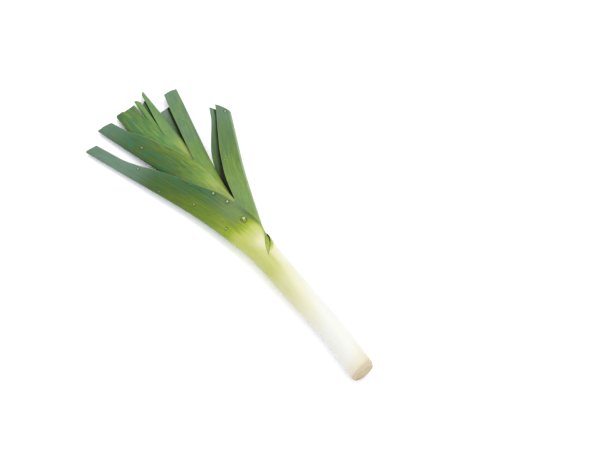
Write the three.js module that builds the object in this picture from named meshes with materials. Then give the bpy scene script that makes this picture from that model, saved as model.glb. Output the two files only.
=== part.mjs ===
// A trimmed leek, lying on its side with its leaves fanned out flat.
//
// Millimetres, +Z up.  The root end is toward -X and the leaf tips toward +X.
// The white shank is a solid rod.  Seven leaves leave its upper end as nested
// sheaths, outermost first, and each opens into a folded blade: a keel on the
// outer side, and two halves lying one above the other.  Odd leaves keel to
// the left (+Y) and even leaves to the right (-Y), as a leek's leaves do.
// Every leaf is one closed sheet, and neighbours are a hair apart.

import * as THREE from 'three';

// ---- driving dimensions (mm) ------------------------------------------------
const NECK_X = 155;          // station where the leaves leave the shank
const NECK_Y = 3.3;          // the shank's centre there: it is very slightly bowed
const NECK_RADIUS = 14;      // radius of the shank and of the outermost sheath
const SEAM = 0.3;            // clearance between the shank and the parts on its ends
const SHEATH_PITCH = 1.55;   // each sheath is this much smaller than the one round it
const SHEET = 0.75;          // thickness of a leaf
const GAP = 0.65;            // least clearance between two leaves
const FLAT = 0.35;           // depth of the flattened strip that the leek rests on
const FOLD_CLEAR = 1.6;      // how far a margin stays out of the fold of a leaf round it
const LIP = 3;               // how far past a margin the leaf below it still keeps under it
const RELAX = 0.35;          // how fast a leaf rises once it is clear of the one over it
const SQUARE_OFF = 24;       // length over which a slanting sheath is squared up to the shank

// Height of the leaves' middle level against the distance out from the neck.
const LEVEL = [[0, 13.65], [20, 13.2], [40, 12.1], [70, 10.4], [100, 9.1],
  [125, 8.2], [150, 7.3], [200, 5.5], [260, 4.6]];

// The shank's centre line and radius along its length.
const SHANK_CENTRE = [[0, 0.4], [25, -0.9], [51, -1.6], [86, -0.3], [126, 2.0], [155, 3.3]];
const SHANK_RADIUS = [[0, 13.4], [51, 13.0], [86, 13.3], [126, 13.8], [155, 14]];
const SHANK_ROUNDING = [[0, 0.93], [1, 0.965], [2.4, 0.99], [4.5, 1]];  // the cut root end's edge

// The root plate, the disc left where the roots were trimmed off.
const PLATE_RADIUS = 12.2;
const PLATE_RISE = 1.8;

// Thickness of a leaf at its keel, against the distance along the leaf.
const KEEL_SHEET = [[0, SHEET], [40, 1.1], [100, 1.7], [180, 1.9], [260, 1.6]];

// The leaves, outermost first.  Every table is [distance along the keel, value]:
//   head   heading of the keel away from straight ahead, degrees, outward
//   half   half width of the section (the keel to its middle), mm
//   rise   half height of the section, mm; both start at the sheath's radius
//   front  angle round the section, from the keel, at which the upper margin lies
//   back   the same for the lower margin; past 180 it comes up round the far side
// slant is how far back the tip is cut for each mm away from the keel, and short is
// how far the lower half's tip falls short of the upper half's.  facets is the number
// of flats round the section, and tuck is extra clearance under the leaf round it.
const LEAVES = [
  { name: 'leaf_1', side: 1, length: 237, slant: 0.62, facets: 24,
    head: [[0, 6], [30, 12.5], [65, 14.5], [90, 18], [120, 20.3], [237, 21]],
    half: [[6, 14.6], [12, 15.2], [23, 16.7], [32, 18.1], [45, 19.6], [68, 22], [90, 25],
      [118, 26.2], [155, 22], [178, 16], [200, 13], [237, 13.2]],
    rise: [[20, 13], [40, 11.9], [70, 10.1], [100, 8.8], [145, 7.3], [195, 5.8], [237, 5.0]],
    front: [[0, 81], [8, 96], [16, 121], [25, 151], [32, 160], [46, 148], [68, 128], [90, 109],
      [118, 92], [155, 87], [237, 82]],
    back: [[0, 276], [6, 246], [14, 206], [22, 170], [30, 143], [42, 125], [68, 108], [90, 100],
      [118, 90], [155, 87], [237, 84]] },
  { name: 'leaf_2', side: -1, length: 185, slant: -0.75, facets: 22, tuck: 0.42,
    head: [[0, 1], [20, 3.5], [32, 13], [42, 19], [60, 19.5], [90, 20], [115, 22], [140, 23.8], [185, 23.8]],
    half: [[10, 13.2], [25, 15], [40, 17], [70, 21.5], [110, 27.5], [130, 27.5],
      [160, 25], [185, 21.5]],
    rise: [[20, 11.8], [40, 10.7], [70, 9.1], [100, 8.3], [145, 8.2], [185, 7.6]],
    front: [[0, 100], [70, 85], [100, 80], [136, 77], [185, 74]],
    back: [[0, 258], [30, 180], [70, 118], [95, 95], [110, 91], [132, 98], [155, 94], [185, 91]] },
  { name: 'leaf_3', side: 1, length: 247, slant: 0.5, facets: 16, tuck: 0.35,
    head: [[0, 0], [55, 4], [105, 12], [155, 17.5], [247, 18]],
    half: [[50, 16], [95, 24], [135, 30], [196, 23.8], [220, 18], [247, 15.8]],
    rise: [[40, 9.6], [70, 8.2], [100, 7.4], [145, 6.4], [195, 5.6], [247, 4.8]],
    front: [[0, 175], [30, 140], [60, 112], [95, 93], [247, 86]],
    back: [[0, 175], [30, 140], [60, 112], [95, 93], [247, 86]] },
  { name: 'leaf_4', side: -1, length: 238, slant: 0.25, short: 12, facets: 16, tuck: 0.25,
    head: [[0, 0], [65, 1.5], [125, 10], [175, 12.5], [238, 11.5]],
    half: [[50, 13], [95, 17], [135, 18.8], [205, 19], [238, 18]],
    rise: [[40, 8.4], [70, 7.1], [100, 6.3], [145, 5.6], [195, 5.4], [238, 5.2]],
    front: [[0, 172], [40, 135], [75, 100], [110, 84], [238, 84]],
    back: [[0, 172], [40, 136], [75, 106], [110, 96], [170, 104], [238, 118]] },
  { name: 'leaf_5', side: 1, length: 246, slant: 0.05, facets: 14, tuck: 0.1,
    head: [[0, 0], [55, 3], [115, 11], [175, 9.5], [215, 5.5], [246, 0]],
    half: [[60, 13], [110, 20], [160, 25], [246, 25.5]],
    rise: [[40, 7.1], [70, 5.9], [100, 5.1], [145, 4.6], [195, 4.5], [246, 4.3]],
    front: [[0, 168], [40, 140], [80, 105], [120, 90], [246, 85]],
    back: [[0, 168], [40, 140], [80, 105], [120, 90], [246, 88]] },
  { name: 'leaf_6', side: -1, length: 254, slant: 0.6, short: 7, facets: 12, tuck: 0.15,
    head: [[0, 1], [60, 1], [120, 0], [254, -0.4]],
    half: [[60, 10], [120, 14], [190, 14], [210, 11.5], [235, 7], [254, 4.5]],
    rise: [[40, 5.8], [70, 4.7], [100, 3.9], [145, 3.4], [195, 3.4], [254, 3.2]],
    front: [[0, 165], [50, 130], [100, 95], [150, 88], [254, 85]],
    back: [[0, 165], [50, 130], [100, 95], [150, 92], [200, 115], [235, 140], [254, 150]] },
  { name: 'leaf_7', side: 1, length: 249, slant: 0.7, facets: 12,
    head: [[0, 0], [75, 3], [125, 2.5], [175, -0.8], [249, -2.4]],
    half: [[60, 7], [120, 7.2], [195, 5.4], [249, 5.2]],
    rise: [[40, 4.5], [70, 3.5], [100, 2.8], [145, 2.4], [249, 2.4]],
    front: [[0, 160], [60, 120], [110, 95], [249, 92]],
    back: [[0, 160], [60, 120], [110, 95], [249, 88]] },
];

// Stations along a leaf, closer together where the sheath is opening.
const STATIONS = [0, 5, 10, 15, 20, 25, 30, 35, 41, 48, 56, 65, 76, 89, 104, 122, 142, 165, 190, 214];
const SHANK_FACETS = 32;

// ---- smooth tables ------------------------------------------------------------
// A curve through [x, y] knots that never overshoots them.
function profile(knots) {
  const n = knots.length;
  const slope = knots.slice(1).map(([x, y], i) => (y - knots[i][1]) / (x - knots[i][0]));
  const tangent = knots.map((_, i) => {
    if (i === 0) return slope[0];
    if (i === n - 1) return slope[n - 2];
    const [a, b] = [slope[i - 1], slope[i]];
    return a * b <= 0 ? 0 : (2 * a * b) / (a + b);
  });
  return (x) => {
    const s = Math.min(Math.max(x, knots[0][0]), knots[n - 1][0]);
    let i = 0;
    while (i < n - 2 && s >= knots[i + 1][0]) i += 1;
    const [x0, y0] = knots[i];
    const [x1, y1] = knots[i + 1];
    const h = x1 - x0;
    const t = (s - x0) / h;
    return (2 * t ** 3 - 3 * t ** 2 + 1) * y0 + (t ** 3 - 2 * t ** 2 + t) * h * tangent[i]
      + (3 * t ** 2 - 2 * t ** 3) * y1 + (t ** 3 - t ** 2) * h * tangent[i + 1];
  };
}

const rad = THREE.MathUtils.degToRad;
const deg = THREE.MathUtils.radToDeg;
const levelOut = profile(LEVEL);
const keelSheet = profile(KEEL_SHEET);
const softMin = (a, b, k) => (a + b - Math.hypot(a - b, k)) / 2;

// Height of the leaves' middle level over a point of the plan.
function level(x, y) {
  const out = Math.max(0, x - NECK_X);
  return levelOut(out * Math.hypot(1, (y - NECK_Y) / (out + 25)));
}

// ---- a leaf's shape -------------------------------------------------------------
class Leaf {
  constructor(order, data) {
    this.order = order;
    this.name = data.name;
    this.side = data.side;
    this.length = data.length;
    this.slant = data.slant;
    this.short = data.short ?? 0;
    this.facets = data.facets;
    this.tuck = data.tuck ?? 0;
    const radius = NECK_RADIUS - SHEATH_PITCH * order;
    for (const key of ['head', 'front', 'back']) this[key] = profile(data[key]);
    for (const key of ['half', 'rise']) this[key] = profile([[0, radius], ...data[key]]);
    // The keel's path in plan, followed in 1 mm steps from the neck.
    const startY = NECK_Y + this.side * radius;
    this.path = [[NECK_X, startY]];
    for (let i = 1; i <= this.length + 45; i += 1) {
      const [x, y] = this.path[i - 1];
      const t = this.heading(i - 0.5);
      this.path.push([x + Math.cos(t), y + Math.sin(t)]);
    }
  }

  heading(l) {
    return rad(this.head(Math.min(Math.max(l, 0), this.length))) * this.side;
  }

  // A point of the plan at distance l along the keel and d inward from it.
  plan(l, d) {
    const t = this.heading(l);
    const i = Math.min(Math.max(Math.floor(l), 0), this.path.length - 2);
    const [x0, y0] = this.path[i];
    const [x1, y1] = this.path[i + 1];
    const f = l - i;
    return [x0 + (x1 - x0) * f + this.side * Math.sin(t) * d,
      y0 + (y1 - y0) * f - this.side * Math.cos(t) * d];
  }

  // The reverse: where a point of the plan lies, as [l, d].
  locate(x, y) {
    let l = x - NECK_X;
    let d = 0;
    for (let pass = 0; pass < 6; pass += 1) {
      const [kx, ky] = this.plan(l, 0);
      const t = this.heading(l);
      l += (x - kx) * Math.cos(t) + (y - ky) * Math.sin(t);
      d = this.side * ((x - kx) * Math.sin(t) - (y - ky) * Math.cos(t));
    }
    return [l, d];
  }

  // Room that this leaf leaves, above (or below) the middle level, for the inner
  // surface of a leaf `deep` layers further in, kept `extra` mm inside it.
  room(x, y, deep, extra, below) {
    const [l, d] = this.locate(x, y);
    const off = deep * (SHEET + GAP) + extra;
    const keelOff = off + keelSheet(l) - SHEET;
    const a = this.half(l) - keelOff;
    let b = this.rise(l) - off;
    if (below) b = Math.min(b, level(x, y) - off);
    const u = d - keelOff;
    if (u <= 0) return 0;
    const reach = below ? this.back(l) : this.front(l);
    const other = below ? this.front(l) : this.back(l);
    const margin = Math.min(180, other > 180 ? 180 : reach);
    const angle = deg(Math.acos(THREE.MathUtils.clamp(1 - u / a, -1, 1)));
    const edge = this.half(l) * (1 - Math.cos(rad(margin)));
    const clear = Math.max(0, d - edge - LIP) + Math.max(0, l - this.length - LIP);
    return b * Math.sin(rad(Math.min(angle, Math.max(90, margin)))) + RELAX * clear;
  }

  // Angle at which a margin lies: it stops short of the fold of any leaf round it.
  margin(station, which) {
    let angle = this[which](station);
    for (; angle > 60 && angle < 200; angle -= 0.5) {
      const [x, y] = this.plan(station, this.half(station) * (1 - Math.cos(rad(angle))));
      if (LEAF.slice(0, this.order).every((leaf) => {
        const [l, d] = leaf.locate(x, y);
        const deep = this.order - leaf.order;
        return d > deep * (SHEET + GAP) + keelSheet(l) - SHEET + FOLD_CLEAR;
      })) break;
    }
    return angle;
  }

  // A point of the leaf: station l, angle round the section (degrees, upper side
  // positive), on the outer surface (inset 0) or the inner one (inset 1).
  point(station, angle, inset) {
    const c = 1 - Math.cos(rad(angle));
    const short = angle < 0 ? this.short * Math.min(1, c / 0.6) : 0;
    const tip = this.slant * this.half(this.length) * c + short;
    const square = Math.tan(Math.abs(this.heading(0))) * this.half(0) * c;
    const l = station - tip * Math.min(1, station / this.length) ** 6
      - square * Math.max(0, 1 - station / SQUARE_OFF) ** 2;
    const keelIn = inset * keelSheet(l);
    const a = this.half(l) - keelIn;
    const [x, y] = this.plan(l, keelIn + a * c);
    const rise = (this.rise(l) - inset * SHEET) * Math.sin(rad(angle));
    const below = rise < 0;
    const middle = level(x, y);
    let high = Math.abs(rise);
    for (let j = 0; j < this.order; j += 1) {
      const extra = this.tuck + inset * SHEET;
      high = softMin(high, LEAF[j].room(x, y, this.order - j, extra, below), 0.25);
    }
    if (below) high = Math.min(high, middle - inset * SHEET);
    return [x, y, middle + (below ? -high : high)];
  }
}

const LEAF = [];
LEAVES.forEach((data, order) => LEAF.push(new Leaf(order, data)));

// ---- closed solids ---------------------------------------------------------------
class Solid {
  constructor() { this.points = []; this.faces = []; }

  add(p) { this.points.push(p); return this.points.length - 1; }

  quad(a, b, c, d) { this.faces.push([a, b, c], [a, c, d]); }

  mesh(name, look, shift) {
    const geometry = new THREE.BufferGeometry();
    const flat = this.faces.flat().flatMap((i) => this.points[i].map((v, k) => v + shift[k]));
    geometry.setAttribute('position', new THREE.Float32BufferAttribute(flat, 3));
    geometry.computeVertexNormals();
    const mesh = new THREE.Mesh(geometry, new THREE.MeshStandardMaterial(look));
    mesh.name = name;
    return mesh;
  }
}

// One leaf as a closed sheet: outer face, inner face and the four edges.
function leafSolid(leaf) {
  const solid = new Solid();
  const stations = [...STATIONS.filter((l) => l < leaf.length - 12), leaf.length];
  const rows = stations.map((station) => {
    const from = -leaf.margin(station, 'back');
    const span = leaf.margin(station, 'front') - from;
    return [0, 1].map((inset) => Array.from({ length: leaf.facets + 1 }, (_, k) => {
      const [x, y, z] = leaf.point(station, from + (span * k) / leaf.facets, inset);
      return solid.add([x + SEAM / 2, y, z]);
    }));
  });
  const turn = leaf.side > 0
    ? (a, b, c, d) => solid.quad(a, b, c, d)
    : (a, b, c, d) => solid.faces.push([a, c, b], [a, d, c]);
  for (let i = 0; i + 1 < rows.length; i += 1) {
    const [[out0, in0], [out1, in1]] = [rows[i], rows[i + 1]];
    for (let k = 0; k < leaf.facets; k += 1) {
      turn(out0[k], out0[k + 1], out1[k + 1], out1[k]);
      turn(in0[k + 1], in0[k], in1[k], in1[k + 1]);
    }
    turn(in0[0], out0[0], out1[0], in1[0]);
    turn(out0[leaf.facets], in0[leaf.facets], in1[leaf.facets], out1[leaf.facets]);
  }
  const [outA, inA] = rows[0];
  const [outZ, inZ] = rows[rows.length - 1];
  for (let k = 0; k < leaf.facets; k += 1) {
    turn(inA[k], inA[k + 1], outA[k + 1], outA[k]);
    turn(outZ[k], outZ[k + 1], inZ[k + 1], inZ[k]);
  }
  return solid;
}

// A rod of round sections along X, closed by a flat face at each end.
function rod(sections, facets) {
  const solid = new Solid();
  const rings = sections.map(({ x, y, z, r }) => Array.from({ length: facets }, (_, k) => {
    const t = rad(-90 + (360 * k) / facets);
    return solid.add([x, y + r * Math.cos(t), Math.max(0, z + r * Math.sin(t))]);
  }));
  for (let i = 0; i + 1 < rings.length; i += 1) {
    for (let k = 0; k < facets; k += 1) {
      const n = (k + 1) % facets;
      solid.quad(rings[i][k], rings[i][n], rings[i + 1][n], rings[i + 1][k]);
    }
  }
  [0, rings.length - 1].forEach((i) => {
    const { x, y, z } = sections[i];
    const centre = solid.add([x, y, z]);
    for (let k = 0; k < facets; k += 1) {
      const n = (k + 1) % facets;
      const [a, b] = i === 0 ? [n, k] : [k, n];
      solid.faces.push([centre, rings[i][a], rings[i][b]]);
    }
  });
  return solid;
}

const shankCentre = profile(SHANK_CENTRE);
const shankRadius = profile(SHANK_RADIUS);
const shankRounding = profile(SHANK_ROUNDING);

function shankSolid() {
  const stations = [0, 1, 2.4, 4.5, 15, 32, 51, 70, 88, 107, 126, 141, NECK_X - SEAM / 2];
  return rod(stations.map((x) => ({
    x,
    y: shankCentre(x),
    z: shankRadius(x) - FLAT,
    r: shankRadius(x) * shankRounding(x),
  })), SHANK_FACETS);
}

function plateSolid() {
  const y = shankCentre(0);
  const z = shankRadius(0) - FLAT;
  return rod([[-SEAM - PLATE_RISE, 0.84], [-SEAM - 0.55 * PLATE_RISE, 0.96], [-SEAM, 1]]
    .map(([x, f]) => ({ x, y, z, r: PLATE_RADIUS * f })), 24);
}

// ---- the leek ---------------------------------------------------------------------
const GREENS = ['#7d9c50', '#5f8a5e', '#4f8151', '#638f5c', '#55884f', '#6f9c54', '#86a95a'];
const solids = [
  ['shank', { color: '#eeefd3', roughness: 0.45, metalness: 0 }, shankSolid()],
  ['root_plate', { color: '#d9c79c', roughness: 0.8, metalness: 0 }, plateSolid()],
  ...LEAF.map((leaf, i) => [leaf.name, { color: GREENS[i], roughness: 0.5, metalness: 0 },
    leafSolid(leaf)]),
];

// The origin is the middle of the footprint, on the surface the leek lies on.
const low = [Infinity, Infinity, Infinity];
const top = [-Infinity, -Infinity, -Infinity];
solids.forEach(([, , solid]) => solid.points.forEach((p) => p.forEach((v, k) => {
  low[k] = Math.min(low[k], v);
  top[k] = Math.max(top[k], v);
})));
const shift = [-(low[0] + top[0]) / 2, -(low[1] + top[1]) / 2, -low[2]];

const leek = new THREE.Group();
leek.name = 'leek';
solids.forEach(([name, look, solid]) => leek.add(solid.mesh(name, look, shift)));

export default leek;
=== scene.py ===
"""A trimmed leek lying on its side with its leaves fanned out flat, dressed from its CAD frame.

Shapes are worked out in millimetres in the leek's own axes: X runs along the neck from the
cut root end, Y to the left and Z up from the table.  place() takes them into the frame.
The tables and the leaf's shape repeat those of the CAD source, and each piece here is the
same surface on a finer grid, with the veins, edges and colours of the real thing, and some shade and
highlights painted into those colours.
"""

import math

import bpy
import numpy as np
from mathutils import Matrix, Vector


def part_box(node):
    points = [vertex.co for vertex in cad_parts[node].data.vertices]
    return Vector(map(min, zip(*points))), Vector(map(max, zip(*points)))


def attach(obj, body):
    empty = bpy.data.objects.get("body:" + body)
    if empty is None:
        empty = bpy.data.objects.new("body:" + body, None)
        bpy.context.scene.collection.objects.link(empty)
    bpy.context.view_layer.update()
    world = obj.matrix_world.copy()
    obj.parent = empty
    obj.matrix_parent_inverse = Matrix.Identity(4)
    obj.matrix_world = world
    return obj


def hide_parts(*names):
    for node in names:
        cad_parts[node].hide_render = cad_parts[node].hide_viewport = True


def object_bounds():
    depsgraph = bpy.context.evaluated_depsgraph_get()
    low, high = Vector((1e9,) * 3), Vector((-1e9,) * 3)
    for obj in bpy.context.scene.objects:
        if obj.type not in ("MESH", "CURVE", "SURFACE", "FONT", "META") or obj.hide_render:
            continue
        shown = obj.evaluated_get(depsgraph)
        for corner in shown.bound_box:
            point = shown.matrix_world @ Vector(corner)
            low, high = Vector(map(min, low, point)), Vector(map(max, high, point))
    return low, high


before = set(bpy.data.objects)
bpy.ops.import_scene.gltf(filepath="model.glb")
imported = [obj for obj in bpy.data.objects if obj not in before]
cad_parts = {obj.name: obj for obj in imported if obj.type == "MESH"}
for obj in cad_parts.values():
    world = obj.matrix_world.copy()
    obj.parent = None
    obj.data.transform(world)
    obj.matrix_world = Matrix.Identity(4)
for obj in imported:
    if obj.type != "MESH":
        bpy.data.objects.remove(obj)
cad_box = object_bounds()

MM = 0.001


# ---- smooth tables ----
def profile(knots):
    """A curve through (x, y) knots that never overshoots them, for arrays of x."""
    x, y = np.array(knots, float).T
    slope = np.diff(y) / np.diff(x)
    tangent = np.zeros(len(x))
    tangent[0], tangent[-1] = slope[0], slope[-1]
    for i in range(1, len(x) - 1):
        a, b = slope[i - 1], slope[i]
        tangent[i] = 0 if a * b <= 0 else 2 * a * b / (a + b)

    def curve(at):
        s = np.clip(at, x[0], x[-1])
        i = np.clip(np.searchsorted(x, s, side="right") - 1, 0, len(x) - 2)
        h = x[i + 1] - x[i]
        t = (s - x[i]) / h
        return ((2 * t**3 - 3 * t**2 + 1) * y[i] + (t**3 - 2 * t**2 + t) * h * tangent[i]
                + (3 * t**2 - 2 * t**3) * y[i + 1] + (t**3 - t**2) * h * tangent[i + 1])

    return curve


# ---- driving dimensions, as in the CAD source (mm) ----
NECK_X = 155.0  # station where the leaves leave the shank
NECK_Y = 3.3  # the shank's centre there
NECK_RADIUS = 14.0  # radius of the shank and of the outermost sheath
SEAM = 0.3  # clearance between the CAD shank and the parts on its ends
SHEATH_PITCH = 1.55  # each sheath is this much smaller than the one round it
SHEET = 0.75  # thickness of a leaf
GAP = 0.65  # least clearance between two leaves
FLAT = 0.35  # depth of the flattened strip that the leek rests on
LIP = 3.0  # how far past a margin the leaf below it still keeps under it
RELAX = 0.35  # how fast a leaf rises once it is clear of the one over it
FOLD_CLEAR = 1.6  # how far a margin stays out of the fold of a leaf round it
SQUARE_OFF = 24.0  # length over which a slanting sheath is squared up to the shank
TIP_POWER = 6  # how late along a leaf the slant of its tip comes in
SHORT_FOLD = 0.6  # how far round from the keel the lower half's tip is fully short
PATH_BEYOND = 45  # how far past its tip a leaf's path runs on, for the leaves inside it
LEVEL_SPREAD = 25  # evens out the middle level near the neck
BLEND = 0.25  # softness with which a leaf bends to the room that it has
MARGIN_STEP = 0.5  # step by which a margin is drawn back, degrees
LEAST_MARGIN = 60  # angle past which no margin is drawn back
OPEN_MARGIN = 200  # a margin past this angle wraps round the inner leaves

# Height of the leaves' middle level against the distance out from the neck.
level_out = profile([[0, 13.65], [20, 13.2], [40, 12.1], [70, 10.4], [100, 9.1], [125, 8.2],
                     [150, 7.3], [200, 5.5], [260, 4.6]])

# The shank's centre line and radius along its length, and the rounding of its cut end.
shank_centre = profile([[0, 0.4], [25, -0.9], [51, -1.6], [86, -0.3], [126, 2.0], [155, 3.3]])
shank_radius = profile([[0, 13.4], [51, 13.0], [86, 13.3], [126, 13.8], [155, 14]])
shank_rounding = profile([[0, 0.93], [1, 0.965], [2.4, 0.99], [4.5, 1]])

# The root plate, the disc left where the roots were trimmed off.
PLATE_RADIUS = 12.2
PLATE_RISE = 1.8

# Thickness of a leaf at its keel, against the distance along the leaf.
keel_sheet = profile([[0, SHEET], [40, 1.1], [100, 1.7], [180, 1.9], [260, 1.6]])

# The leaves, outermost first.  Most tables go by station, the distance from the neck.  As in
# the CAD source, head is the keel's heading, half and rise the section's half width and
# half height, front and back the angles of the upper and lower margins.  The rest:
#   slant  how far back the tip is cut for each mm away from the keel
#   short  how far the lower half's tip falls short of the upper half's, mm
#   tuck   extra clearance under the leaf round it, mm
#   tone   how far along the ramp from white to deep green the skin is
#   lead   how much greener than the keel the skin is towards the margins
#   fresh  how much of the clear light green of a young leaf shows
#   bloom  how much of the grey wax lies on it
#   teal   how much blue-green lies over it in patches, and stain the same for brown
#   nick   how far short of a clean cut the tip falls, against t, which runs from -1 at the
#          lower margin over 0 at the keel to 1 at the upper margin
#   ribs   height of the ribs over the veins, mm
#   keel   how strong the painted highlight along the keel's ridge is, and its width, mm
#   striping     how strongly pale stripes show between the veins
#   lean         how much less fresh it is away from its upper margin
#   keel_bloom   the share of the bloom that lies over the keel
#   inner_bloom  the bloom of its inside, as a share of the outside's; above 1 it is partly painted light
#   on a shaded inside
#   fold_shade   how strongly shade is painted into the bottom of its fold
# USUAL is what a leaf has unless it says otherwise.
USUAL = dict(short=0, striping=0.16, lean=0.0, keel_bloom=0.55, inner_bloom=0.5, fold_shade=0.5,
             lead=[[0, -16], [23, -6], [39, 10], [110, 10], [240, 0]])
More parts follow.
